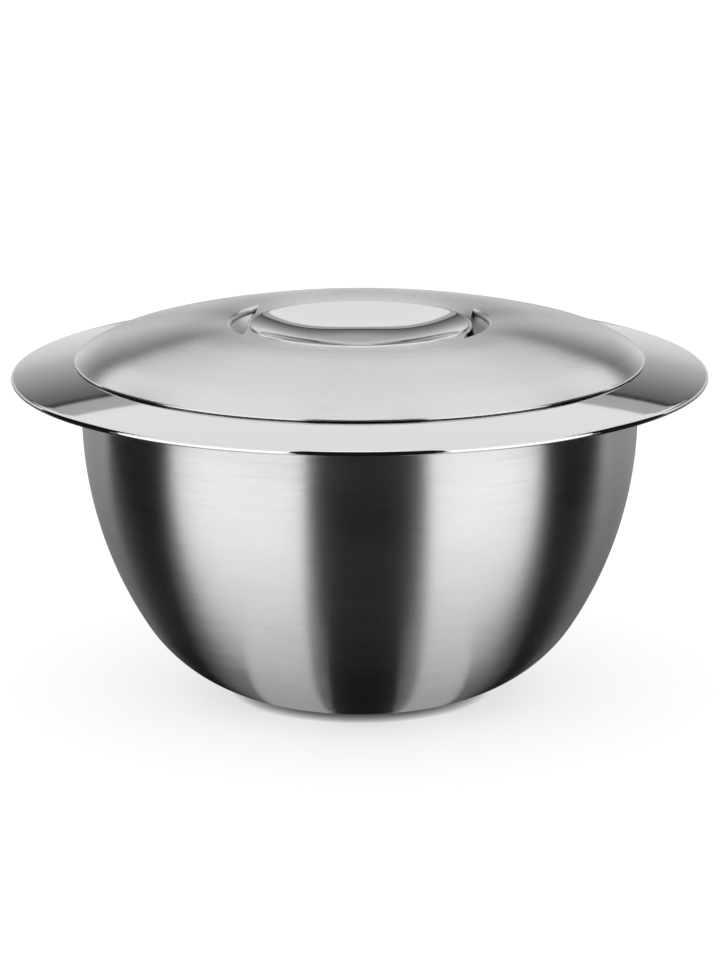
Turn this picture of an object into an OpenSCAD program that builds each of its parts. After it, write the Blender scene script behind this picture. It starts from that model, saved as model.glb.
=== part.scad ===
// Insulated serving bowl with a lift-off lid.
// The bowl is two drawn steel shells with foam between them: a brushed outer shell, and a
// polished inner bowl whose sheet turns over at the mouth into a wide brim with a rolled lip.
// The lid is a brushed dome over a polished liner. Its grip is a polished dish on a bridge
// that spans a round finger well, with a crescent slot on each side for the fingertips.
// Everything round is a profile in r and z turned about the Z axis.

/* [Bowl] */
// Outside diameter of the body at its widest
body_d = 240; // [220:1:270]
// Height at which the body is widest
belly_z = 124; // [114:1:134]
// Radius of the long curve of the body wall
wall_curve_r = 170; // [155:1:195]
// Radius of the curve from the wall into the base
heel_r = 72; // [58:1:80]
// Height of the mouth, where the inner bowl turns over into the brim
mouth_z = 148; // [143:1:158]
// Radius of the turned mouth on its polished side
mouth_round = 5; // [4:0.5:7]
// Thickness of the bowl's steel sheet
bowl_steel = 1; // [0.7:0.1:1.3]
// Space between the two shells of the bowl
shell_gap = 6; // [4.5:0.5:9]

/* [Brim] */
// Width by which the brim stands out past the body
brim_w = 30; // [20:1:40]
// Fall of the brim from the mouth to the lip
brim_drop = 6; // [2:0.5:10]
// Radius of the rolled lip
lip_r = 1.4; // [1.2:0.1:2.2]

/* [Foot] */
// Width of the flat ring that the bowl stands on
foot_land = 6; // [4:0.5:8]
// Height of the step inside the foot ring
foot_step = 1.8; // [1.5:0.1:3]
// Width of the ledge that the base plate is welded to
plate_lap = 5; // [3:0.5:6]
// Thickness of the base plate
plate_steel = 1; // [0.7:0.1:1.4]
// Height of the raised panel in the base plate
plate_panel = 0.6; // [0.3:0.1:1]

/* [Lid] */
// Width by which the lid reaches past the body onto the brim
lid_over = 2.8; // [1:0.1:6]
// Thickness of the lid's steel sheet
lid_steel = 1; // [0.7:0.1:1.2]
// Height of the turned-down edge of the lid
edge_h = 1; // [0.8:0.1:2.5]
// Radius of the rounding over the turned-down edge
edge_round = 1.5; // [1.3:0.1:2.5]
// Radius of the curve over the highest ring of the lid
crown_curve_r = 88; // [75:1:110]
// Radius of the long curve of the dome
dome_curve_r = 309; // [250:1:400]
// Radius of the curve near the lid's edge
edge_curve_r = 70; // [60:1:90]
// Depth of the lid's liner below the mouth
plug_depth = 12; // [9:0.5:14]
// Space between the liner's skirt and the mouth
skirt_gap = 3; // [2.5:0.1:4.5]
// Radius of the liner's lower corner
liner_round = 4; // [2.5:0.5:6]

/* [Grip] */
// Diameter of the dish over its rolled rim
dish_d = 96.8; // [86:0.2:104]
// Depth of the dish below its rim
dish_depth = 8; // [5:0.5:9]
// Power of the dish's curve, which is flatter in the middle the higher it is
dish_power = 3; // [2:0.5:4]
// Radius of the dish's rolled rim
dish_rim_r = 1.2; // [1:0.1:1.6]
// Width of the finger slots between the dish and the lid
slot_w = 6.9; // [6:0.1:10]
// Radius of the collar drawn down round the slots
collar_r = 2; // [1.5:0.1:3]
// Width of the two tongues that carry the dish
bridge_w = 94; // [76:1:95]
// Height of the flanks turned down along the sides of the tongues
flank_h = 6; // [3:0.5:7]
// Space between the dish and the floor of the finger well
well_gap = 1.5; // [1:0.1:6]
// Radius of the curve between the well's wall and floor
well_round = 9; // [4:0.5:9]
// Width of the lid between the well and the highest ring
ring_out = 8; // [6:0.5:14]

/* [Seals and foam] */
// Thickness of the gasket between outer shell and brim
gasket_h = 1.5; // [1:0.1:2.5]
// Width of the gasket, and of the shell's turned-in edge
gasket_w = 3; // [2:0.5:4]
// Height of the lid's sealing ring
seal_h = 6; // [4:0.5:7]
// Thickness of the sealing ring's band against the skirt
seal_band = 1.2; // [0.8:0.1:1.6]
// Thickness of each sealing fin at its root
seal_fin = 1.1; // [0.8:0.1:1.4]

/* [Fits] */
// Gap between the lid and the bowl where they meet
lid_fit = 0.3; // [0.2:0.05:0.5]
// Gap between pieces that are joined in assembly
join_fit = 0.1; // [0.05:0.05:0.2]
// Clearance round the moulded foam
foam_fit = 0.2; // [0.1:0.1:0.5]

/* [Hidden] */
$fn = 96;
brushed = "silver";
polished = "gainsboro";
foam = "ivory";
rubber = "dimgray";

// Steps in each round stretch of a profile
wall_steps = 24;
heel_steps = 18;
dome_steps = 16;
round_steps = 10;
lip_steps = 28;
// Places, between the highest ring and the edge, where the dome passes from curve to curve
dome_break_shares = [0.26, 0.75];
// Radius of the base plate's panel as a share of the plate's, and of its sloping side
panel_shares = [0.7, 0.6];
// Fin heights up the sealing ring, and the fins' tips relative to their roots
fin_shares = [0.12, 0.62];

body_r = body_d / 2;
dish_r = dish_d / 2;
well_r = dish_r + slot_w;
ring_r = well_r + ring_out;
lid_r = body_r + lid_over;
lip_ring_r = body_r + brim_w - lip_r;
lip_z = mouth_z - brim_drop - lip_r;
// Insets of the four faces of the double wall from the outside of the bowl
shell_in = bowl_steel;
bowl_out = shell_in + shell_gap;
bowl_in = bowl_out + bowl_steel;

// A point at radius r and angle a from the centre c, and an arc of such points
function at(c, r, a) = [c[0] + r * cos(a), c[1] + r * sin(a)];
function arc(c, r, from, to, steps) = [for (i = [0 : steps]) at(c, r, from + (to - from) * i / steps)];
function reversed(list) = [for (i = [len(list) - 1 : -1 : 0]) list[i]];
function below(r, drop) = sqrt(r * r - drop * drop);
function angle_to(from, to) = atan2(to[1] - from[1], to[0] - from[0]);

// Body wall: a long curve about wall_c, tangent to the heel curve about heel_c
wall_c = [body_r - wall_curve_r, belly_z];
heel_c = [wall_c[0] + below(wall_curve_r - heel_r, belly_z - heel_r), heel_r];
heel_a = angle_to(wall_c, heel_c);
foot_r = heel_c[0];
foot_in = foot_r - foot_land;
plate_hole_r = foot_in - plate_lap;

// Mouth: the curve about mouth_c turns the inner wall over into the brim
mouth_cz = mouth_z - mouth_round;
mouth_reach = wall_curve_r - bowl_in + mouth_round;
mouth_c = [wall_c[0] + below(mouth_reach, mouth_cz - belly_z), mouth_cz];
mouth_a = angle_to(wall_c, mouth_c);
mouth_r = mouth_c[0] - mouth_round;

// Brim: the straight line over the mouth curve and the lip
lip_c = [lip_ring_r, lip_z];
lip_span = norm(lip_c - mouth_c);
brim_a = asin((mouth_round - lip_r) / lip_span) - angle_to(mouth_c, lip_c);
brim_up_a = 90 - brim_a;
lip_back_a = brim_up_a + acos(1 - bowl_steel / lip_r);
function brim_z(r, lift = 0) =
    mouth_c[1] + (mouth_round + lift) / cos(brim_a) - (r - mouth_c[0]) * tan(brim_a);

// Height at a depth under the brim, also where it runs into the mouth curve
function brim_under(r, drop) = r > mouth_c[0] + (mouth_round - drop) * sin(brim_a)
    ? brim_z(r, -drop)
    : mouth_c[1] + below(mouth_round - drop, r - mouth_c[0]);

// Top edge of the outer shell, one gasket below the underside of the brim
shell_top_z = brim_z(body_r, -bowl_steel) - gasket_h;
function wall_r(inset, z) = wall_c[0] + below(wall_curve_r - inset, z - belly_z);
function wall_a(inset, z) = asin((z - belly_z) / (wall_curve_r - inset));

// One face of the double wall, from the edge of the flat base up to angle top_a of the wall
function wall_face(inset, top_a) = concat(
    arc(heel_c, heel_r - inset, -90, heel_a, heel_steps),
    arc(wall_c, wall_curve_r - inset, heel_a, top_a, wall_steps));

// Lid: three tangent curves, from the ring where it is highest down to the rounded edge.
// Their centres are found upwards from the edge, which rests on the brim.
dome_span = lid_r - ring_r;
crown_a = asin(dome_span * dome_break_shares[0] / crown_curve_r);
dome_cr = ring_r - (dome_curve_r - crown_curve_r) * sin(crown_a);
dome_a = asin((ring_r + dome_span * dome_break_shares[1] - dome_cr) / dome_curve_r);
edge_cr = dome_cr + (dome_curve_r - edge_curve_r) * sin(dome_a);
edge_bottom_z = brim_z(lid_r, lid_fit);
round_c = [lid_r - edge_round, edge_bottom_z + edge_h];
edge_c = [edge_cr, round_c[1] - below(edge_curve_r - edge_round, round_c[0] - edge_cr)];
edge_a = asin((round_c[0] - edge_cr) / (edge_curve_r - edge_round));
dome_c = edge_c - (dome_curve_r - edge_curve_r) * [sin(dome_a), cos(dome_a)];
crown_c = dome_c + (dome_curve_r - crown_curve_r) * [sin(crown_a), cos(crown_a)];
function crown_z(r, drop = 0) = crown_c[1] + below(crown_curve_r - drop, r - ring_r);
function crown_up_a(r, drop = 0) = acos((r - ring_r) / (crown_curve_r - drop));

// One face of the dome, at a depth under its outside, from radius r out to the edge
function dome_face(r, drop) = concat(
    arc(crown_c, crown_curve_r - drop, crown_up_a(r, drop), 90 - crown_a, dome_steps),
    arc(dome_c, dome_curve_r - drop, 90 - crown_a, 90 - dome_a, dome_steps),
    arc(edge_c, edge_curve_r - drop, 90 - dome_a, 90 - edge_a, round_steps));

// Lid liner: a shelf over the brim, a skirt inside the mouth and a flat bottom
skirt_r = mouth_r - skirt_gap;
skirt_in_r = skirt_r - lid_steel;
liner_z = mouth_z - plug_depth;
liner_top_z = liner_z + lid_steel;
shelf_r = lid_r - lid_steel - join_fit;
shelf_bend = mouth_round / 2;
shelf_c = [skirt_r + shelf_bend, brim_z(skirt_r + shelf_bend, lid_fit) - shelf_bend / cos(brim_a)];
liner_c = [skirt_r - liner_round, liner_z + liner_round];

// Grip: the dish hangs from its rolled rim, flush with the lid, over the well
rim_c = [dish_r - dish_rim_r, crown_z(dish_r) - dish_rim_r];
dish_steep = dish_depth * dish_power / rim_c[0];
dish_a = 90 + atan(dish_steep);
dish_edge = at(rim_c, dish_rim_r, dish_a);
function dish_slope(r) = dish_steep * pow(r / dish_edge[0], dish_power - 1);
function dish_z(r) = dish_edge[1] - (dish_steep * dish_edge[0] - dish_slope(r) * r) / dish_power;

// A point of the dish at a depth under its polished face, square to it
function dish_point(r, drop) =
    [r, dish_z(r)] + drop / norm([dish_slope(r), 1]) * [dish_slope(r), -1];

// Where the underside of the dish runs into the rim
rim_back_a = dish_a + acos(1 - lid_steel / dish_rim_r);
dish_under_r = at(rim_c, dish_rim_r, rim_back_a)[0] + lid_steel * cos(dish_a);
collar_c = [well_r + collar_r, crown_z(well_r + collar_r) - collar_r];
tab_r = well_r - join_fit;
tab_w = bridge_w - 2 * dish_rim_r;
well_in_r = well_r + lid_steel + join_fit;
well_floor_z = dish_z(0) - lid_steel - well_gap;
flange_r = well_in_r + ring_out / 2;

// Depths, under the lid's surface, of the two faces of what is welded under it
lap_top = lid_steel + join_fit;
lap_low = lap_top + lid_steel;

module turned(profile) {
    rotate_extrude() polygon(profile);
}

// Keeps what lies within a width across X
module across(width, height) {
    intersection() {
        children();
        translate([-width / 2, -body_d, 0]) cube([width, 2 * body_d, height]);
    }
}

// Removes what lies within a width across X
module outside(width, height) {
    difference() {
        children();
        translate([-width / 2, -body_d, -height]) cube([width, 2 * body_d, 2 * height]);
    }
}

// Drawn outer bowl: foot ring, step and ledge for the base plate, wall, turned-in top edge
module outer_shell() {
    top_out = wall_a(0, shell_top_z);
    top_in = wall_a(shell_in, shell_top_z - bowl_steel);
    turn_r = wall_r(0, shell_top_z) - gasket_w - bowl_steel;
    color(brushed) turned(concat(
        [[plate_hole_r, foot_step + bowl_steel], [plate_hole_r, foot_step],
         [foot_in, foot_step], [foot_in, 0]],
        wall_face(0, top_out),
        [[turn_r, shell_top_z], [turn_r, shell_top_z - bowl_steel]],
        reversed(wall_face(shell_in, top_in)),
        [[foot_in + bowl_steel, shell_in], [foot_in + bowl_steel, foot_step + bowl_steel]]));
}

// Inner bowl in one sheet with the brim, whose lip is rolled into a full bead
module inner_bowl() {
    color(polished) turned(concat(
        [[0, bowl_out]],
        wall_face(bowl_out, mouth_a),
        arc(mouth_c, mouth_round - bowl_steel, mouth_a + 180, brim_up_a, round_steps),
        arc(lip_c, lip_r, lip_back_a - 360, brim_up_a, lip_steps),
        arc(mouth_c, mouth_round, brim_up_a, mouth_a + 180, round_steps),
        reversed(wall_face(bowl_in, mouth_a)),
        [[0, bowl_in]]));
}

// Foam shell that fills the double wall up to just below the gasket
module bowl_insulation() {
    top_z = mouth_c[1] - mouth_round;
    out = shell_in + foam_fit;
    in = bowl_out - foam_fit;
    step_z = foot_step + bowl_steel + foam_fit;
    step_r = foot_in + bowl_steel + foam_fit;
    color(foam) turned(concat(
        [[0, step_z], [step_r, step_z], [step_r, out]],
        wall_face(out, wall_a(out, top_z)),
        reversed(wall_face(in, wall_a(in, top_z))),
        [[0, in]]));
}

// Pressed disc in the foot, set up inside the ring, with a raised panel
module base_plate() {
    rim_r = foot_in - join_fit;
    panel_r = rim_r * panel_shares[0];
    flat_r = rim_r * panel_shares[1];
    top_z = foot_step;
    low_z = top_z - plate_steel;
    color(brushed) turned([
        [0, low_z + plate_panel], [flat_r, low_z + plate_panel], [panel_r, low_z], [rim_r, low_z],
        [rim_r, top_z], [panel_r, top_z], [flat_r, top_z + plate_panel], [0, top_z + plate_panel]]);
}

// Ring between the shell's turned-in edge and the underside of the brim
module shell_gasket() {
    out_r = wall_r(0, shell_top_z) - bowl_steel;
    in_r = out_r - gasket_w;
    under = bowl_steel + join_fit;
    color(rubber) turned(concat(
        [[in_r, shell_top_z], [out_r, shell_top_z]],
        [for (i = [0 : round_steps]) let (r = out_r - gasket_w * i / round_steps)
            [r, brim_under(r, under)]]));
}

// Lid top: dome with a turned-down edge and a round opening, into which two tongues with
// turned-down flanks reach towards the dish
module lid_dome() {
    tongue_r = dish_r + join_fit;
    hole_r = collar_c[0];
    hole_z = crown_z(hole_r);
    color(brushed) {
        difference() {
            turned(concat(
                reversed(dome_face(tongue_r, lid_steel)),
                dome_face(tongue_r, 0),
                arc(round_c, edge_round, 90 - edge_a, 0, round_steps),
                [[lid_r, edge_bottom_z], [lid_r - lid_steel, brim_z(lid_r - lid_steel, lid_fit)]],
                arc(round_c, edge_round - lid_steel, 0, 90 - edge_a, round_steps)));
            outside(bridge_w, hole_z) cylinder(r = hole_r, h = 2 * hole_z);
        }
        outside(bridge_w, 2 * hole_z) turned(concat(
            arc(collar_c, collar_r, 90, 180, round_steps),
            arc(collar_c, collar_r - lid_steel, 180, 90, round_steps)));
        outside(bridge_w - 2 * lid_steel, 2 * hole_z) across(bridge_w, 2 * hole_z) turned(concat(
            [[tongue_r, hole_z - flank_h], [tab_r, hole_z - flank_h]],
            arc(crown_c, crown_curve_r - lid_steel / 2, crown_up_a(tab_r, lid_steel / 2),
                crown_up_a(tongue_r, lid_steel / 2), round_steps)));
    }
}

// Polished dish with a rolled rim, and two tabs that lie under the tongues
module grip_dish() {
    tab_z = crown_z(tab_r);
    color(polished) {
        turned(concat(
            [for (i = [0 : dome_steps - 1]) dish_point(dish_edge[0] * i / dome_steps, 0)],
            arc(rim_c, dish_rim_r, dish_a, rim_back_a - 360, lip_steps),
            [for (i = [dome_steps - 1 : -1 : 0])
                dish_point(dish_under_r * i / dome_steps, lid_steel)]));
        across(tab_w, 2 * tab_z) turned(concat(
            arc(crown_c, crown_curve_r - lap_top, crown_up_a(rim_c[0], lap_top),
                crown_up_a(tab_r, lap_top), round_steps),
            arc(crown_c, crown_curve_r - lap_low, crown_up_a(tab_r, lap_low),
                crown_up_a(rim_c[0], lap_low), round_steps)));
    }
}

// Cup under the grip, welded to the underside of the dome by its flange
module grip_well() {
    floor_c = [well_in_r - well_round, well_floor_z + well_round];
    color(polished) turned(concat(
        [[0, well_floor_z]],
        arc(floor_c, well_round, -90, 0, round_steps),
        arc(collar_c, collar_r - lap_top, 180, 90, round_steps),
        [[flange_r, crown_z(flange_r, lap_top)], [flange_r, crown_z(flange_r, lap_low)],
         [well_in_r + lid_steel, crown_z(well_in_r + lid_steel, lap_low)]],
        arc(floor_c, well_round + lid_steel, 0, -90, round_steps),
        [[0, well_floor_z - lid_steel]]));
}

// Underside of the lid
module lid_liner() {
    color(polished) turned(concat(
        [[0, liner_z]],
        arc(liner_c, liner_round, -90, 0, round_steps),
        arc(shelf_c, shelf_bend, 180, brim_up_a, round_steps),
        [[shelf_r, brim_z(shelf_r, lid_fit)], [shelf_r, brim_z(shelf_r, lid_fit + lid_steel)]],
        arc(shelf_c, shelf_bend + lid_steel, brim_up_a, 180, round_steps),
        arc(liner_c, liner_round - lid_steel, 0, -90, round_steps),
        [[0, liner_top_z]]));
}

// Foam between liner and dome, hollowed for the well
module lid_insulation() {
    out_r = skirt_in_r - foam_fit;
    hole_r = well_in_r + lid_steel + foam_fit;
    base_z = liner_top_z + foam_fit;
    under = lid_steel + foam_fit;
    step_r = flange_r + foam_fit;
    floor_c = [well_in_r - well_round, well_floor_z + well_round];
    corner = liner_round - lid_steel;
    top = [for (p = dome_face(step_r, under)) if (p[0] < out_r) p];
    last = top[len(top) - 1];
    color(foam) turned(concat(
        [[0, base_z], [out_r - corner, base_z], [out_r, base_z + corner],
         [out_r, last[1] - (out_r - last[0])]],
        reversed(top),
        [[step_r, crown_z(step_r, lap_low + foam_fit)],
         [hole_r, crown_z(hole_r, lap_low + foam_fit)]],
        arc(floor_c, well_round + lid_steel + foam_fit, 0, -90, round_steps),
        [[0, well_floor_z - lid_steel - foam_fit]]));
}

// Silicone ring round the skirt, with two fins that reach for the mouth
module lid_seal() {
    band_r = skirt_r + seal_band;
    tip_r = mouth_r - lid_fit;
    top_z = shelf_c[1];
    low_z = top_z - seal_h;
    fin_1 = low_z + seal_h * fin_shares[0];
    fin_2 = low_z + seal_h * fin_shares[1];
    color(rubber) turned([
        [skirt_r, low_z], [band_r, low_z], [band_r, fin_1],
        [tip_r, fin_1 + seal_fin / 2], [tip_r, fin_1 + seal_fin], [band_r, fin_1 + seal_fin],
        [band_r, fin_2],
        [tip_r, fin_2 + seal_fin / 2], [tip_r, fin_2 + seal_fin], [band_r, fin_2 + seal_fin],
        [band_r, top_z], [skirt_r, top_z]]);
}

outer_shell();
inner_bowl();
bowl_insulation();
base_plate();
shell_gasket();
lid_dome();
grip_dish();
grip_well();
lid_liner();
lid_insulation();
lid_seal();
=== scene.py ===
"""Looks of the insulated bowl: turned sheet-steel pieces with fine meshes, their materials and a plain
studio. Lengths are in millimetres until a mesh is made, angles in degrees, Z runs up the bowl's axis."""

import math

import bmesh
import bpy
from mathutils import Matrix


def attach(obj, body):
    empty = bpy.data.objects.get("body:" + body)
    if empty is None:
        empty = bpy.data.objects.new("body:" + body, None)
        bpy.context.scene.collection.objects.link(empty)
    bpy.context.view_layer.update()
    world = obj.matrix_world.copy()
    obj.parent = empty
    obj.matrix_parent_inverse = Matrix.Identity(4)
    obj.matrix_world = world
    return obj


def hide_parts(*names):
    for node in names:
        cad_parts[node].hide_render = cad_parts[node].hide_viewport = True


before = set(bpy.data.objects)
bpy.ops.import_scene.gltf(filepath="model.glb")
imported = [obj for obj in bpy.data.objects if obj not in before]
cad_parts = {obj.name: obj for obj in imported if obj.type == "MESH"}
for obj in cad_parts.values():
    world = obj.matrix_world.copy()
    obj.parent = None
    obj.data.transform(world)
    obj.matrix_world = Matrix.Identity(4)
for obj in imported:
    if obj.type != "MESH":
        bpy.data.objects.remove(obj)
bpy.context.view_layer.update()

MM = 0.001

# Bowl
BODY_R = 120
BELLY_Z = 124
WALL_CURVE_R = 170
HEEL_R = 72
MOUTH_Z = 148
MOUTH_ROUND = 5
BOWL_STEEL = 1
SHELL_GAP = 6

# Brim, with the angle by which the pressed sheet bows to each side of a straight line
BRIM_W = 30
BRIM_DROP = 6
LIP_R = 1.4
BRIM_BOW = 1.65

# Foot. The base plate's middle is pressed up, with its step between PLATE_SHARES of its radius.
FOOT_LAND = 6
FOOT_STEP = 1.8
PLATE_LAP = 5
PLATE_STEEL = 1
PLATE_PANEL = 0.6
PLATE_SHARES = (0.7, 0.6)
PRESS_ROUND = 0.5

# Lid. Three arcs make its curve, which changes at DOME_BREAK_SHARES of the way from the grip to the edge.
LID_OVER = 2.8
LID_STEEL = 1
EDGE_GAP = 0.6
EDGE_H = 0.1
EDGE_ROUND = 1.1
CROWN_CURVE_R = 88
DOME_CURVE_R = 309
EDGE_CURVE_R = 45.3
DOME_BREAK_SHARES = (0.26, 0.75)
PLUG_DEPTH = 12
SKIRT_GAP = 3
SHELF_BACK = 4
LINER_ROUND = 4

# Grip. The dish's slope is DISH_STEEP * (share^2 - DISH_FLARE * share^4) of its radius.
DISH_R = 48.4
DISH_STEEP = 0.72
DISH_FLARE = 0.645
DISH_RIM_R = 1.2
SLOT_W = 6.9
COLLAR_R = 2
BRIDGE_W = 94
FLANK_H = 6
WELL_GAP = 2.6
WELL_FLOOR_R = 46
RING_OUT = 8

# Seals and fits. The lid's seal has a fin at each of FIN_SHARES of its height.
GASKET_H = 1.5
GASKET_W = 3
SEAL_H = 6
SEAL_BAND = 1.2
SEAL_FIN = 1.1
FIN_SHARES = (0.12, 0.62)
LID_FIT = 0.3
JOIN_FIT = 0.1
TONGUE_GAP = 0.35
RIM_PROUD = 0.4

# Meshes: steps in a full circle, along a slot or tongue, and from the dish's middle to its rim
TURNS = 240
SLOT_TURNS = 48
DISH_STEPS = 48

# Longest steps of an arc, in degrees and millimetres, and the angle from which an edge shows as sharp
ARC_ANGLE = 6
ARC_LENGTH = 1.6
SHARP_ANGLE = 42

# Most of an edge that a cut corner takes, and the radius under which a ring becomes one vertex
CORNER_SHARE = 0.4
ON_AXIS = 1e-6


def sin(a):
    return math.sin(math.radians(a))


def cos(a):
    return math.cos(math.radians(a))


def asin(x):
    return math.degrees(math.asin(x))


def angle_to(a, b):
    return math.degrees(math.atan2(b[1] - a[1], b[0] - a[0]))


def at(c, r, a):
    """The point at angle a of a circle about c."""
    return (c[0] + r * cos(a), c[1] + r * sin(a))


def arc(c, r, start, end):
    """Points of an arc about c, both ends included."""
    swing = abs(end - start)
    steps = math.ceil(max(swing / ARC_ANGLE, math.radians(swing) * r / ARC_LENGTH, 1))
    return [at(c, r, start + (end - start) * i / steps) for i in range(steps + 1)]


def bowed(a, b, bow):
    """Points between a and b on an arc whose ends turn by the angle bow from the straight line."""
    r = math.dist(a, b) / 2 / sin(bow)
    heading = angle_to(a, b)
    return arc(at(a, r, heading + bow - 90), r, heading + bow + 90, heading - bow + 90)[1:-1]


def below(r, drop):
    """How far a circle of radius r reaches to the side at a drop from its middle."""
    return math.sqrt(r * r - drop * drop)


# Body wall and mouth, the same construction as the CAD part's
bowl_out = BOWL_STEEL + SHELL_GAP
bowl_in = bowl_out + BOWL_STEEL
wall_c = (BODY_R - WALL_CURVE_R, BELLY_Z)
heel_c = (wall_c[0] + below(WALL_CURVE_R - HEEL_R, BELLY_Z - HEEL_R), HEEL_R)
heel_a = angle_to(wall_c, heel_c)
foot_in = heel_c[0] - FOOT_LAND
mouth_reach = WALL_CURVE_R - bowl_in + MOUTH_ROUND
mouth_cz = MOUTH_Z - MOUTH_ROUND
mouth_c = (wall_c[0] + below(mouth_reach, mouth_cz - BELLY_Z), mouth_cz)
mouth_a = angle_to(wall_c, mouth_c)
mouth_r = mouth_c[0] - MOUTH_ROUND

# Brim
lip_c = (BODY_R + BRIM_W - LIP_R, MOUTH_Z - BRIM_DROP - LIP_R)
brim_a = asin((MOUTH_ROUND - LIP_R) / math.dist(mouth_c, lip_c)) - angle_to(mouth_c, lip_c)
lip_back_a = 90 - brim_a + math.degrees(math.acos(1 - BOWL_STEEL / LIP_R))


def brim_z(r, lift=0):
    """Height at radius r of a line on the brim, or at a lift off its upper face, square to it."""
    return mouth_c[1] + (MOUTH_ROUND + lift) / cos(brim_a) - (r - mouth_c[0]) * sin(brim_a) / cos(brim_a)


# Lid, built up from its edge on the brim
well_r = DISH_R + SLOT_W
ring_r = well_r + RING_OUT
lid_r = BODY_R + LID_OVER
dome_span = lid_r - ring_r
crown_a = asin(dome_span * DOME_BREAK_SHARES[0] / CROWN_CURVE_R)
dome_cr = ring_r - (DOME_CURVE_R - CROWN_CURVE_R) * sin(crown_a)
dome_a = asin((ring_r + dome_span * DOME_BREAK_SHARES[1] - dome_cr) / DOME_CURVE_R)
edge_cr = dome_cr + (DOME_CURVE_R - EDGE_CURVE_R) * sin(dome_a)
edge_bottom_z = brim_z(lid_r, EDGE_GAP)
round_c = (lid_r - EDGE_ROUND, edge_bottom_z + EDGE_H)
edge_c = (edge_cr, round_c[1] - below(EDGE_CURVE_R - EDGE_ROUND, round_c[0] - edge_cr))
edge_a = asin((round_c[0] - edge_cr) / (EDGE_CURVE_R - EDGE_ROUND))
dome_c = (dome_cr, edge_c[1] - (DOME_CURVE_R - EDGE_CURVE_R) * cos(dome_a))
crown_c = (ring_r, dome_c[1] + (DOME_CURVE_R - CROWN_CURVE_R) * cos(crown_a))


def crown_z(r, drop=0):
    """Height of the lid's crown at radius r, at a drop under its outside."""
    return crown_c[1] + below(CROWN_CURVE_R - drop, r - ring_r)


def crown_up_a(r, drop=0):
    """Angle about the crown's centre at which radius r lies."""
    return 90 - asin((r - ring_r) / (CROWN_CURVE_R - drop))


def crown_arc(start_r, end_r, drop=0):
    """Points of the lid's crown, at a drop under its outside, from one radius to another."""
    return arc(crown_c, CROWN_CURVE_R - drop, crown_up_a(start_r, drop), crown_up_a(end_r, drop))


def dome_face(r, drop):
    """One face of the dome, at a drop under its outside, from radius r out to its edge."""
    return (
        arc(crown_c, CROWN_CURVE_R - drop, crown_up_a(r, drop), 90 - crown_a)
        + arc(dome_c, DOME_CURVE_R - drop, 90 - crown_a, 90 - dome_a)[1:]
        + arc(edge_c, EDGE_CURVE_R - drop, 90 - dome_a, 90 - edge_a)[1:]
    )


# Liner
skirt_r = mouth_r - SKIRT_GAP
liner_z = MOUTH_Z - PLUG_DEPTH
shelf_r = lid_r - SHELF_BACK
shelf_bend = MOUTH_ROUND / 2
shelf_c = (skirt_r + shelf_bend, brim_z(skirt_r + shelf_bend, LID_FIT) - shelf_bend / cos(brim_a))
liner_c = (skirt_r - LINER_ROUND, liner_z + LINER_ROUND)

# Grip
rim_c = (DISH_R - DISH_RIM_R, crown_z(DISH_R) - DISH_RIM_R + RIM_PROUD)
dish_a = 90 + math.degrees(math.atan(DISH_STEEP * (1 - DISH_FLARE)))
dish_edge = at(rim_c, DISH_RIM_R, dish_a)
rim_back_a = dish_a + math.degrees(math.acos(1 - LID_STEEL / DISH_RIM_R))
dish_under_r = at(rim_c, DISH_RIM_R, rim_back_a)[0] + LID_STEEL * cos(dish_a)
collar_c = (well_r + COLLAR_R, crown_z(well_r + COLLAR_R) - COLLAR_R)
well_in_r = well_r + LID_STEEL + JOIN_FIT
flange_r = well_in_r + RING_OUT / 2
lap_top = LID_STEEL + JOIN_FIT
lap_low = lap_top + LID_STEEL


def dish_point(r, drop):
    """A point of the dish at a drop under its polished face, square to it."""
    share = r / dish_edge[0]
    slope = DISH_STEEP * (share**2 - DISH_FLARE * share**4)
    fall = (1 - share**3) / 3 - DISH_FLARE * (1 - share**5) / 5
    z = dish_edge[1] - DISH_STEEP * dish_edge[0] * fall
    lean = math.hypot(slope, 1)
    return (r + drop * slope / lean, z - drop / lean)


well_floor_z = dish_point(0, 0)[1] - LID_STEEL - WELL_GAP


def wall_face(inset, top_a):
    """One face of the double wall, from the edge of the flat base up to angle top_a of the wall."""
    heel = arc(heel_c, HEEL_R - inset, -90, heel_a)
    return heel + arc(wall_c, WALL_CURVE_R - inset, heel_a, top_a)[1:]


def wall_a(inset, z):
    """Angle about the wall's centre at which height z lies, at an inset from the outside."""
    return asin((z - BELLY_Z) / (WALL_CURVE_R - inset))


def wall_r(inset, z):
    """Radius of the wall at height z, at an inset from the outside."""
    return wall_c[0] + below(WALL_CURVE_R - inset, z - BELLY_Z)


shell_top_z = brim_z(BODY_R, -BOWL_STEEL) - GASKET_H


def rounded(points, r):
    """A profile whose inner corners are cut back by r, which smooth shading shows as rounds."""
    out = [points[0]]
    for a, b, c in zip(points, points[1:], points[2:]):
        for end in (a, c):
            share = min(r / math.dist(b, end), CORNER_SHARE)
            out.append((b[0] + (end[0] - b[0]) * share, b[1] + (end[1] - b[1]) * share))
    return out + [points[-1]]


def shell_profile():
    turn_r = wall_r(0, shell_top_z) - GASKET_W - BOWL_STEEL
    return (
        [(foot_in - PLATE_LAP, FOOT_STEP + BOWL_STEEL), (foot_in - PLATE_LAP, FOOT_STEP)]
        + [(foot_in, FOOT_STEP), (foot_in, PRESS_ROUND), (foot_in + PRESS_ROUND, 0)]
        + wall_face(0, wall_a(0, shell_top_z))
        + [(turn_r, shell_top_z), (turn_r, shell_top_z - BOWL_STEEL)]
        + wall_face(BOWL_STEEL, wall_a(BOWL_STEEL, shell_top_z - BOWL_STEEL))[::-1]
        + [(foot_in + BOWL_STEEL, BOWL_STEEL), (foot_in + BOWL_STEEL, FOOT_STEP + BOWL_STEEL)]
    )


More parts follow.
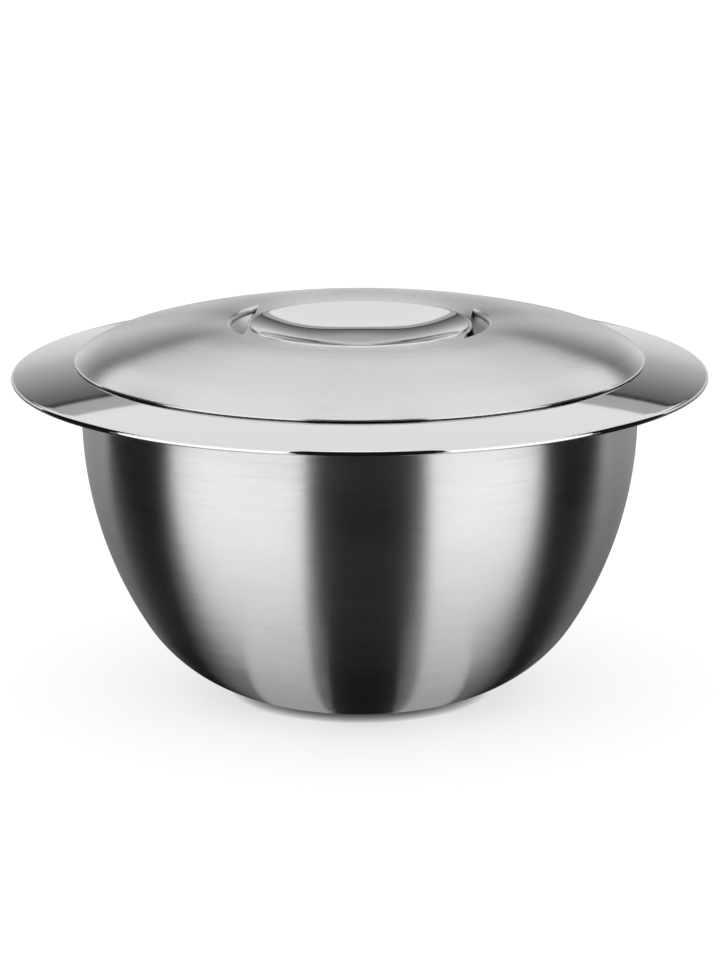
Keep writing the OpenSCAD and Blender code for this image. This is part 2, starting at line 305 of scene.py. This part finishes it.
def bowl_profile():
    inner_a, outer_a = 90 - brim_a + BRIM_BOW, 90 - brim_a - BRIM_BOW
    brim_top = bowed(at(mouth_c, MOUTH_ROUND, inner_a), at(lip_c, LIP_R, outer_a), BRIM_BOW)
    return (
        [(0, bowl_out)]
        + wall_face(bowl_out, mouth_a)
        + arc(mouth_c, MOUTH_ROUND - BOWL_STEEL, mouth_a + 180, 90 - brim_a)
        + arc(lip_c, LIP_R, lip_back_a - 360, outer_a)
        + brim_top[::-1]
        + arc(mouth_c, MOUTH_ROUND, inner_a, mouth_a + 180)
        + wall_face(bowl_in, mouth_a)[::-1][1:]
        + [(0, bowl_in)]
    )


def plate_profile():
    rim_r = foot_in - JOIN_FIT
    outer_r, inner_r = (rim_r * share for share in PLATE_SHARES)
    steps = [(0, PLATE_PANEL), (inner_r, PLATE_PANEL), (outer_r, 0), (rim_r, 0)]
    low = [(r, z + FOOT_STEP - PLATE_STEEL) for r, z in rounded(steps, PRESS_ROUND)]
    top = [(r, z + FOOT_STEP) for r, z in rounded(steps, PRESS_ROUND)]
    return low + top[::-1]


def gasket_profile():
    out_r = wall_r(0, shell_top_z) - BOWL_STEEL
    drop = BOWL_STEEL + JOIN_FIT
    bend_r = mouth_c[0] + (MOUTH_ROUND - drop) * sin(brim_a)
    inner_a = asin((out_r - GASKET_W - mouth_c[0]) / (MOUTH_ROUND - drop))
    return (
        [(out_r - GASKET_W, shell_top_z), (out_r, shell_top_z), (out_r, brim_z(out_r, -drop))]
        + [(bend_r, brim_z(bend_r, -drop))]
        + arc(mouth_c, MOUTH_ROUND - drop, 90 - brim_a, 90 - inner_a)[1:]
    )


def dome_profile(hole_r):
    """The dome's outside from its hole to its edge, and its inside back to the hole."""
    return (
        dome_face(hole_r, 0)
        + arc(round_c, EDGE_ROUND, 90 - edge_a, 0)[1:]
        + [(lid_r, edge_bottom_z), (lid_r - LID_STEEL, brim_z(lid_r - LID_STEEL, EDGE_GAP))]
        + arc(round_c, EDGE_ROUND - LID_STEEL, 0, 90 - edge_a)
        + dome_face(hole_r, LID_STEEL)[::-1][1:]
    )


def tongue_profile(hole_r):
    """A tongue's top from the hole to its end, and its underside back, without the two at the hole."""
    end_r = DISH_R + TONGUE_GAP
    return crown_arc(hole_r, end_r)[1:] + crown_arc(end_r, hole_r, LID_STEEL)[:-1]


def collar_profile():
    """A slot's collar, rolled down from the hole and back, without the two points at the hole."""
    return arc(collar_c, COLLAR_R, 90, 180)[1:] + arc(collar_c, COLLAR_R - LID_STEEL, 180, 90)[:-1]


def dish_profile():
    inward = [i / DISH_STEPS for i in range(DISH_STEPS - 1, -1, -1)]
    return (
        [dish_point(dish_edge[0] * i / DISH_STEPS, 0) for i in range(DISH_STEPS)]
        + arc(rim_c, DISH_RIM_R, dish_a, rim_back_a - 360)
        + [dish_point(dish_under_r * share, LID_STEEL) for share in inward]
    )


def tab_profile():
    tab_r = well_r - JOIN_FIT
    return crown_arc(rim_c[0], tab_r, lap_top) + crown_arc(tab_r, rim_c[0], lap_low)


def well_profile():
    return (
        [(0, well_floor_z), (WELL_FLOOR_R, well_floor_z)]
        + arc(collar_c, COLLAR_R - lap_top, 180, 90)
        + [(flange_r, crown_z(flange_r, lap_top)), (flange_r, crown_z(flange_r, lap_low))]
        + [(well_in_r + LID_STEEL, crown_z(well_in_r + LID_STEEL, lap_low))]
        + [(WELL_FLOOR_R, well_floor_z - LID_STEEL), (0, well_floor_z - LID_STEEL)]
    )


def liner_profile():
    return (
        [(0, liner_z)]
        + arc(liner_c, LINER_ROUND, -90, 0)
        + arc(shelf_c, shelf_bend, 180, 90 - brim_a)
        + [(shelf_r, brim_z(shelf_r, LID_FIT)), (shelf_r, brim_z(shelf_r, LID_FIT + LID_STEEL))]
        + arc(shelf_c, shelf_bend + LID_STEEL, 90 - brim_a, 180)
        + arc(liner_c, LINER_ROUND - LID_STEEL, 0, -90)
        + [(0, liner_z + LID_STEEL)]
    )


def seal_profile():
    band_r = skirt_r + SEAL_BAND
    tip_r = mouth_r - LID_FIT
    top_z = shelf_c[1]
    low_z = top_z - SEAL_H
    points = [(skirt_r, low_z), (band_r, low_z)]
    for share in FIN_SHARES:
        z = low_z + SEAL_H * share
        points += [(band_r, z), (tip_r, z + SEAL_FIN / 2), (tip_r, z + SEAL_FIN), (band_r, z + SEAL_FIN)]
    return points + [(band_r, top_z), (skirt_r, top_z)]


def add_ring(bm, r, z, angles):
    """One circle or stretch of a turned surface. At the axis it is a single vertex."""
    if r < ON_AXIS:
        return [bm.verts.new((0, 0, z * MM))] * len(angles)
    return [bm.verts.new((r * cos(a) * MM, r * sin(a) * MM, z * MM)) for a in angles]


def add_face(bm, corners):
    corners = list(dict.fromkeys(corners))
    if len(corners) > 2:
        bm.faces.new(corners)


def add_strip(bm, a, b, closed):
    """Faces between two rows of as many vertices. A closed strip runs all the way round."""
    for i in range(len(a) if closed else len(a) - 1):
        j = (i + 1) % len(a)
        add_face(bm, [a[i], a[j], b[j], b[i]])


def add_turned(bm, profile, angles_at, closed):
    """Faces between the rings of a profile, which the axis closes if both its ends lie there.
    angles_at gives a ring's angles for its radius."""
    rings = [add_ring(bm, r, z, angles_at(r)) for r, z in profile]
    pairs = list(zip(rings, rings[1:]))
    if profile[0][0] > 0 or profile[-1][0] > 0:
        pairs.append((rings[-1], rings[0]))
    for a, b in pairs:
        add_strip(bm, a, b, closed)
    return rings


def full_circle(_):
    return [360 * i / TURNS for i in range(TURNS)]


def fan(middle, half):
    """Angles from half a stretch before its middle to half a stretch after it."""
    return [middle + half * (2 * i / SLOT_TURNS - 1) for i in range(SLOT_TURNS + 1)]


def stretch(width, middle, r):
    """Angles of a stretch about the angle middle whose two ends are cut straight at a width."""
    return fan(middle, asin(width / 2 / r))


def piece(name, bm, material, body, slot, *nodes):
    """Makes a named piece of the object from the faces in bm."""
    bmesh.ops.recalc_face_normals(bm, faces=bm.faces)
    mesh = bpy.data.meshes.new(name)
    bm.to_mesh(mesh)
    bm.free()
    mesh.shade_smooth()
    mesh.set_sharp_from_angle(angle=math.radians(SHARP_ANGLE))
    made = bpy.data.objects.new(name, mesh)
    bpy.context.scene.collection.objects.link(made)
    mesh.materials.append(material)
    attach(made, body)
    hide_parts(*nodes)


def turned(name, profile, material, body, slot, node):
    bm = bmesh.new()
    add_turned(bm, profile, full_circle, True)
    piece(name, bm, material, body, slot, node)


def add_flank(bm, side, end):
    """Flank turned down from one side of a tongue. side is the sign of X, end the sign of Y."""
    low_z = crown_z(collar_c[0]) - FLANK_H
    inner_r, outer_r = DISH_R + TONGUE_GAP, well_r - JOIN_FIT
    loops = []
    for i in range(SLOT_TURNS + 1):
        r = inner_r + (outer_r - inner_r) * i / SLOT_TURNS
        loop = []
        for x in (BRIDGE_W / 2 - LID_STEEL, BRIDGE_W / 2):
            y = below(r, x)
            zs = (low_z, crown_z(r, LID_STEEL / 2))
            loop += [(x, y, z) for z in (zs if x < BRIDGE_W / 2 else zs[::-1])]
        loops.append([bm.verts.new((side * x * MM, end * y * MM, z * MM)) for x, y, z in loop])
    for a, b in zip(loops, loops[1:]):
        add_strip(bm, a, b, True)
    add_face(bm, loops[0])
    add_face(bm, loops[-1])


def lid_skin(material):
    """Dome with its two tongues, and the quarter-round collars along the slots between them. Round its
    hole lie four parts, a tongue, a slot, a tongue and a slot."""
    hole_r = collar_c[0]
    split = asin(BRIDGE_W / 2 / hole_r)
    half_turn = fan(90, split)[:-1] + fan(180, 90 - split)[:-1]
    circle = half_turn + [a + 180 for a in half_turn]
    bm = bmesh.new()
    rings = [add_ring(bm, r, z, circle) for r, z in dome_profile(hole_r)]
    for a, b in zip(rings, rings[1:]):
        add_strip(bm, a, b, True)
    for part in range(4):
        columns = [(part * SLOT_TURNS + i) % len(circle) for i in range(SLOT_TURNS + 1)]
        top, under = ([ring[i] for i in columns] for ring in (rings[0], rings[-1]))
        made = []
        for r, z in (tongue_profile(hole_r), collar_profile())[part % 2]:
            half = asin(BRIDGE_W / 2 / r)
            made.append(add_ring(bm, r, z, fan(90 + 90 * part, (half, 90 - half)[part % 2])))
        loops = [top, *made, under]
        for a, b in zip(loops, loops[1:]):
            add_strip(bm, a, b, False)
        for end in (0, -1):
            add_face(bm, [ring[end] for ring in loops])
    for side in (-1, 1):
        for end in (-1, 1):
            add_flank(bm, side, end)
    piece("lid_skin", bm, material, "lid", "brushed_steel", "lid_dome")


def dish_and_tabs(material):
    bm = bmesh.new()
    add_turned(bm, dish_profile(), full_circle, True)
    tab_w = BRIDGE_W - 2 * DISH_RIM_R
    for middle in (90, 270):
        rings = add_turned(bm, tab_profile(), lambda r, m=middle: stretch(tab_w, m, r), False)
        for end in (0, -1):
            add_face(bm, [ring[end] for ring in rings])
    piece("dish", bm, material, "lid", "polished_steel", "grip_dish")


# The middle range of a noise value, and the colour sockets of a mix node
NOISE_RANGE = (0.3, 0.7)
MIX_FIRST, MIX_SECOND, MIX_RESULT = 6, 7, 2


class Nodes:
    """Short forms for building a material's node tree."""

    def __init__(self, name):
        self.material = bpy.data.materials.new(name)
        self.material.use_nodes = True
        self.tree = self.material.node_tree
        self.tree.nodes.clear()
        self.out = self.add("ShaderNodeOutputMaterial")

    def add(self, kind, values=None, **settings):
        node = self.tree.nodes.new(kind)
        for key, value in settings.items():
            setattr(node, key, value)
        for key, value in (values or {}).items():
            if isinstance(value, bpy.types.NodeSocket):
                self.tree.links.new(value, node.inputs[key])
            else:
                node.inputs[key].default_value = value
        return node

    def math(self, operation, a, b=0.0):
        return self.add("ShaderNodeMath", {0: a, 1: b}, operation=operation).outputs[0]

    def surface(self, socket):
        self.tree.links.new(socket, self.out.inputs["Surface"])
        return self.material

    def place(self):
        return self.add("ShaderNodeTexCoord").outputs["Object"]

    def noise(self, vector, scale, detail=3.0, w=None):
        values = {"Vector": vector, "Scale": scale, "Detail": detail}
        if w is None:
            return self.add("ShaderNodeTexNoise", values).outputs["Fac"]
        values["W"] = w
        return self.add("ShaderNodeTexNoise", values, noise_dimensions="4D").outputs["Fac"]

    def spread(self, value, low, high):
        """A noise value carried from its middle range to low..high."""
        values = {"Value": value, "From Min": NOISE_RANGE[0], "From Max": NOISE_RANGE[1]}
        values |= {"To Min": low, "To Max": high}
        return self.add("ShaderNodeMapRange", values).outputs["Result"]

    def blend(self, share, first, second):
        values = {0: share, MIX_FIRST: first, MIX_SECOND: second}
        return self.add("ShaderNodeMix", values, data_type="RGBA").outputs[MIX_RESULT]

    def bump(self, height, strength, distance):
        values = {"Strength": strength, "Distance": distance, "Height": height}
        return self.add("ShaderNodeBump", values).outputs[0]

    def circles(self, along, across, detail):
        """Noise drawn out along circles about Z: along is its scale round the turn, across per metre."""
        x, y, z = self.add("ShaderNodeSeparateXYZ", {"Vector": self.place()}).outputs
        squares = self.math("ADD", self.math("MULTIPLY", x, x), self.math("MULTIPLY", y, y))
        r = self.math("MAXIMUM", self.math("SQRT", squares), MM)
        turn_x = self.math("MULTIPLY", self.math("DIVIDE", x, r), along)
        turn_y = self.math("MULTIPLY", self.math("DIVIDE", y, r), along)
        up = self.math("MULTIPLY", z, across)
        vector = self.add("ShaderNodeCombineXYZ", {"X": turn_x, "Y": turn_y, "Z": up}).outputs[0]
        return self.noise(vector, 1.0, detail, self.math("MULTIPLY", r, across))


# Colours, and roughness of the matt materials
STEEL = (0.70, 0.70, 0.705, 1)
FOAM_COLOURS = ((0.72, 0.66, 0.46, 1), (0.80, 0.75, 0.56, 1))
SILICONE_COLOURS = ((0.020, 0.020, 0.022, 1), (0.028, 0.028, 0.030, 1))
SILICONE_ROUGH = (0.5, 0.62)
FOAM_ROUGH = 0.9

# Brushed steel: how far shine and tone wander, brushed lines to a band, and relief to depth of the lines
SHINE_SPREAD = 0.02
TONE_SPREAD = 0.015
LINES_TO_BAND = 12
RELIEF_SHARE = 5

# Polished steel: how far haze and hairlines change the roughness
HAZE = (-0.01, 0.015)
HAIRS = (-0.008, 0.008)

# Height of each material's relief, in metres
BRUSHED_RELIEF = 0.00002
HAIR_RELIEF = 0.00001
SILICONE_RELIEF = 0.00003
FOAM_RELIEF = 0.0003


def brushed_steel(name, roughness, grain, depth, tone):
    """Steel brushed in circles about the axis: fine lines, uneven in depth and in shine."""
    n = Nodes(name)
    lines = n.circles(along=3.0, across=grain, detail=4.0)
    bands = n.circles(along=6.0, across=grain / LINES_TO_BAND, detail=2.0)
    clouds = n.noise(n.place(), scale=14.0)
    uneven = n.spread(lines, -depth, depth)
    rough = n.math("ADD", uneven, n.spread(clouds, roughness - SHINE_SPREAD, roughness + SHINE_SPREAD))
    shade = n.math("ADD", uneven, n.spread(bands, tone - TONE_SPREAD, tone + TONE_SPREAD))
    colour = n.add("ShaderNodeVectorMath", {0: STEEL[:3], "Scale": shade}, operation="SCALE").outputs[0]
    bump = n.bump(lines, strength=depth * RELIEF_SHARE, distance=BRUSHED_RELIEF)
    tangent = n.add("ShaderNodeTangent", direction_type="RADIAL", axis="Z").outputs[0]
    values = {"Base Color": colour, "Metallic": 1.0, "Roughness": rough, "Normal": bump}
    values |= {"Anisotropic": 1.0, "Anisotropic Rotation": 0.25, "Tangent": tangent}
    return n.surface(n.add("ShaderNodeBsdfPrincipled", values).outputs[0])


def polished_steel(name, roughness):
    """Mirror-polished steel with a faint haze and hairline marks from wiping."""
    n = Nodes(name)
    clouds = n.noise(n.place(), scale=9.0, detail=4.0)
    hairs = n.circles(along=5.0, across=900.0, detail=2.0)
    haze = n.spread(clouds, roughness + HAZE[0], roughness + HAZE[1])
    rough = n.math("ADD", haze, n.spread(hairs, *HAIRS))
    bump = n.bump(hairs, strength=0.04, distance=HAIR_RELIEF)
    values = {"Base Color": STEEL, "Metallic": 1.0, "Roughness": rough, "Normal": bump}
    return n.surface(n.add("ShaderNodeBsdfPrincipled", values).outputs[0])


def silicone():
    n = Nodes("silicone")
    clouds = n.noise(n.place(), scale=30.0)
    fine = n.noise(n.place(), scale=2500.0, detail=2.0)
    rough = n.spread(clouds, *SILICONE_ROUGH)
    bump = n.bump(fine, strength=0.3, distance=SILICONE_RELIEF)
    values = {"Base Color": n.blend(clouds, *SILICONE_COLOURS), "Roughness": rough, "Normal": bump}
    return n.surface(n.add("ShaderNodeBsdfPrincipled", values).outputs[0])


def foam():
    n = Nodes("foam")
    cells = n.add("ShaderNodeTexVoronoi", {"Vector": n.place(), "Scale": 900.0}).outputs["Distance"]
    clouds = n.noise(n.place(), scale=25.0, detail=4.0)
    bump = n.bump(cells, strength=0.6, distance=FOAM_RELIEF)
    values = {"Base Color": n.blend(clouds, *FOAM_COLOURS), "Roughness": FOAM_ROUGH, "Normal": bump}
    return n.surface(n.add("ShaderNodeBsdfPrincipled", values).outputs[0])


body_steel = brushed_steel("brushed_steel_body", roughness=0.36, grain=2600.0, depth=0.05, tone=1.0)
lid_steel = brushed_steel("brushed_steel_lid", roughness=0.25, grain=3200.0, depth=0.03, tone=1.03)
mirror = polished_steel("polished_steel", roughness=0.05)
satin = polished_steel("satin_steel", roughness=0.3)
satin_rubber = silicone()
rigid_foam = foam()

turned("outer_wall", shell_profile(), body_steel, "bowl", "brushed_steel", "outer_shell")
turned("bowl_and_brim", bowl_profile(), mirror, "bowl", "polished_steel", "inner_bowl")
turned("foot_plate", plate_profile(), body_steel, "bowl", "brushed_steel", "base_plate")
turned("gasket", gasket_profile(), satin_rubber, "bowl", "silicone", "shell_gasket")
turned("well", well_profile(), satin, "lid", "polished_steel", "grip_well")
turned("liner", liner_profile(), mirror, "lid", "polished_steel", "lid_liner")
turned("seal", seal_profile(), satin_rubber, "lid", "silicone", "lid_seal")
lid_skin(lid_steel)
dish_and_tabs(mirror)

for node in ("bowl_insulation", "lid_insulation"):
    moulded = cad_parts[node]
    moulded.data.materials.clear()
    moulded.data.materials.append(rigid_foam)

# Studio. Azimuths are seen from the bowl, 0 towards the camera and positive to the viewer's right.
CAMERA_TURN = 5
CAMERA_AWAY = 1811
CAMERA_HEIGHT = 541
CAMERA_PITCH = 13.9
CAMERA_ROLL = -0.15
LENS = 161.1
SENSOR_W = 36

# Cards: distance, height from which elevation counts, lift, azimuth step and reach under the body
CARD_AWAY = 2300
LID_HEIGHT = 150
CARD_LIFT = 1
CARD_STEP = 3
UNDER_BODY = -70

# Azimuths at which the cards change, and the gap between upright neighbours
FRONT = (-22, 27)
BOX_ENDS = (-83, 79)
FLAG_ENDS = (-124, 115)
BACK = (122.5, 230.5)
ALL_ROUND = (-180, 180)
CARD_GAP = 0.5

# Brightness of the cards, of which 1 is white
FLAG = 0.01
BOX = 1.1
STRIP = 1.05
HIGH_STRIP = 1.45
SKY = 1

# Upright cards: pairs of elevation above the lid and brightness
FRONT_WALL = [(0, FLAG), (48, FLAG), (48.1, SKY), (52, SKY), (52.1, HIGH_STRIP), (75, HIGH_STRIP)]
BOX_WALL = [(0, BOX), (28, BOX), (28.1, STRIP), (60, STRIP)]
FLAG_WALL = [(0, FLAG), (40, FLAG)]
BACK_WALL = [(0, 0.80), (5, 0.75), (8, 0.66), (11, 0.50), (14, 0.40), (15.5, 0.34), (17, 0.28)]
BACK_WALL += [(18.8, 0.22), (20, 0.18), (21, 0.15), (21.6, 0.12), (21.65, 0.05), (22.5, 0.05)]
BACK_WALL += [(22.55, 0.48), (25.5, 0.48)]

# Cards on the floor, which the round of the body mirrors: pairs of distance from it and brightness. The
# near light dims towards and under the body as a painted shadow of the bowl on the floor, seen in the
# body's reflections. The far light is darker towards the body.
NEAR_LIGHT_WITH_PAINTED_SHADOW = [(UNDER_BODY, 0.3), (0, 0.6), (130, 1.3), (300, 1.8), (CARD_AWAY, 2.05)]
FAR_LIGHT = [(0, 0.05), (150, 0.1), (450, 0.2), (1000, 0.35), (CARD_AWAY, 0.6)]
NO_LIGHT = [(UNDER_BODY, FLAG), (CARD_AWAY, FLAG)]

# Floor: its size and colour, and the light that lifts it to white
FLOOR_R = 7000
FLOOR_CORNERS = (45, 135, 225, 315)
FLOOR_COLOUR = (0.9, 0.9, 0.9, 1)
FLOOR_GLOW = 1.26
FLOOR_GLOW_SHARE = 0.6

# Soft shades on the floor: reach in metres of the narrow and the wide one, and strength of the wide one
CONTACT = 0.004
SHADE = 0.16
SHADE_SHARE = 0.11
SHADE_SAMPLES = 8

WHITE = (1, 1, 1, 1)
WORLD_LIGHT = 1.0


def round_about(azimuth, r, z):
    """A point in metres at an azimuth from the camera's side."""
    a = azimuth + CAMERA_TURN
    return (r * sin(a) * MM, -r * cos(a) * MM, z * MM)


def card_point(azimuth, r, z):
    """A point at a distance from where the body's wall mirrors that azimuth, or under that place."""
    wall_x, wall_y, _ = round_about(azimuth / 2, BODY_R + min(r, 0), 0)
    x, y, z = round_about(azimuth, max(r, 0), z)
    return (wall_x + x, wall_y + y, z)


def mesh_object(name, verts, faces):
    mesh = bpy.data.meshes.new(name)
    mesh.from_pydata(verts, [], faces)
    made = bpy.data.objects.new(name, mesh)
    bpy.context.scene.collection.objects.link(made)
    return made


def card(name, start, end, profile, place=card_point):
    """A reflector or flag that only reflections see: rows of radius, height and brightness."""
    steps = math.ceil((end - start) / CARD_STEP)
    azimuths = [start + (end - start) * i / steps for i in range(steps + 1)]
    verts = [place(a, r, z) for r, z, _ in profile for a in azimuths]
    wide = len(azimuths)
    faces = [
        (row * wide + i, row * wide + i + 1, (row + 1) * wide + i + 1, (row + 1) * wide + i)
        for row in range(len(profile) - 1)
        for i in range(steps)
    ]
    made = mesh_object(name, verts, faces)
    glow = made.data.attributes.new("glow", "FLOAT", "POINT")
    glow.data.foreach_set("value", [level for _, _, level in profile for _ in azimuths])
    made.data.materials.append(card_glow)
    made.visible_camera = False
    made.visible_diffuse = False
    made.visible_shadow = False


def wall(name, start, end, levels, place=card_point):
    """An upright curved card, from pairs of elevation above the lid and brightness."""
    rows = [(CARD_AWAY, LID_HEIGHT + CARD_AWAY * sin(up) / cos(up), level) for up, level in levels]
    card(name, start, end, [(CARD_AWAY, CARD_LIFT, levels[0][1])] + rows, place)


def floor_card(name, start, end, levels, place=card_point, lift=CARD_LIFT):
    """A card that lies on the floor, from pairs of distance and brightness."""
    card(name, start, end, [(r, lift, level) for r, level in levels], place)


def card_material():
    n = Nodes("card")
    glow = n.add("ShaderNodeAttribute", attribute_name="glow").outputs["Fac"]
    return n.surface(n.add("ShaderNodeEmission", {"Strength": glow}).outputs[0])


def seen(nodes):
    """1 for camera, glossy and transmission rays, 0 for the light that the floor sends on."""
    path = nodes.add("ShaderNodeLightPath").outputs
    either = nodes.math("MAXIMUM", path["Is Camera Ray"], path["Is Glossy Ray"])
    return nodes.math("MAXIMUM", either, path["Is Transmission Ray"])


def floor_material():
    """A pale floor lifted to white for the camera, which keeps the soft shadow."""
    n = Nodes("floor")
    matt = n.add("ShaderNodeBsdfDiffuse", {"Color": FLOOR_COLOUR}).outputs[0]
    near, wide = (
        n.add("ShaderNodeAmbientOcclusion", {"Distance": reach}, samples=SHADE_SAMPLES).outputs["AO"]
        for reach in (CONTACT, SHADE)
    )
    wide = n.math("ADD", n.math("MULTIPLY", wide, SHADE_SHARE), 1 - SHADE_SHARE)
    glow = n.math("MULTIPLY", n.math("MULTIPLY", near, wide), FLOOR_GLOW)
    glow = n.add("ShaderNodeEmission", {"Strength": glow}).outputs[0]
    share = n.math("MULTIPLY", seen(n), FLOOR_GLOW_SHARE)
    return n.surface(n.add("ShaderNodeMixShader", {0: share, 1: matt, 2: glow}).outputs[0])


card_glow = card_material()
wall("front_flag", *FRONT, FRONT_WALL)
wall("left_box", BOX_ENDS[0], FRONT[0] - CARD_GAP, BOX_WALL)
wall("right_box", FRONT[1] + CARD_GAP, BOX_ENDS[1], BOX_WALL)
wall("left_flag", FLAG_ENDS[0], BOX_ENDS[0] - CARD_GAP, FLAG_WALL)
wall("right_flag", BOX_ENDS[1] + CARD_GAP, FLAG_ENDS[1], FLAG_WALL)
wall("backdrop", *BACK, BACK_WALL, round_about)
floor_card("front_floor_flag", *FRONT, NO_LIGHT)
# The side floor cards dim towards the body: a painted shadow of the bowl, seen in its reflections.
floor_card("left_floor", BOX_ENDS[0], FRONT[0], NEAR_LIGHT_WITH_PAINTED_SHADOW)
floor_card("right_floor", FRONT[1], BOX_ENDS[1], NEAR_LIGHT_WITH_PAINTED_SHADOW)
floor_card("left_floor_flag", FLAG_ENDS[0], BOX_ENDS[0], NO_LIGHT)
floor_card("right_floor_flag", BOX_ENDS[1], FLAG_ENDS[1], NO_LIGHT)
floor_card("left_back_floor", ALL_ROUND[0], FLAG_ENDS[0], FAR_LIGHT)
floor_card("right_back_floor", FLAG_ENDS[1], ALL_ROUND[1], FAR_LIGHT)
floor_card("base_floor", *ALL_ROUND, FAR_LIGHT, round_about, CARD_LIFT / 2)

floor = mesh_object("floor", [round_about(a, FLOOR_R, 0) for a in FLOOR_CORNERS], [(0, 1, 2, 3)])
floor.data.materials.append(floor_material())

scene = bpy.context.scene
world = bpy.data.worlds.new("studio")
world.use_nodes = True
scene.world = world
tree = world.node_tree
tree.nodes.clear()
background = tree.nodes.new("ShaderNodeBackground")
background.inputs["Color"].default_value = WHITE
background.inputs["Strength"].default_value = WORLD_LIGHT
output = tree.nodes.new("ShaderNodeOutputWorld")
tree.links.new(background.outputs[0], output.inputs["Surface"])

scene.view_settings.view_transform = "Standard"
camera = bpy.data.objects.new("camera", bpy.data.cameras.new("camera"))
scene.collection.objects.link(camera)
turns = ((CAMERA_TURN, "Z"), (90 - CAMERA_PITCH, "X"), (CAMERA_ROLL, "Z"))
camera.matrix_world = Matrix.Translation(round_about(0, CAMERA_AWAY, CAMERA_HEIGHT))
for angle, axis in turns:
    camera.matrix_world = camera.matrix_world @ Matrix.Rotation(math.radians(angle), 4, axis)
camera.data.lens = LENS
camera.data.sensor_width = SENSOR_W
scene.camera = camera
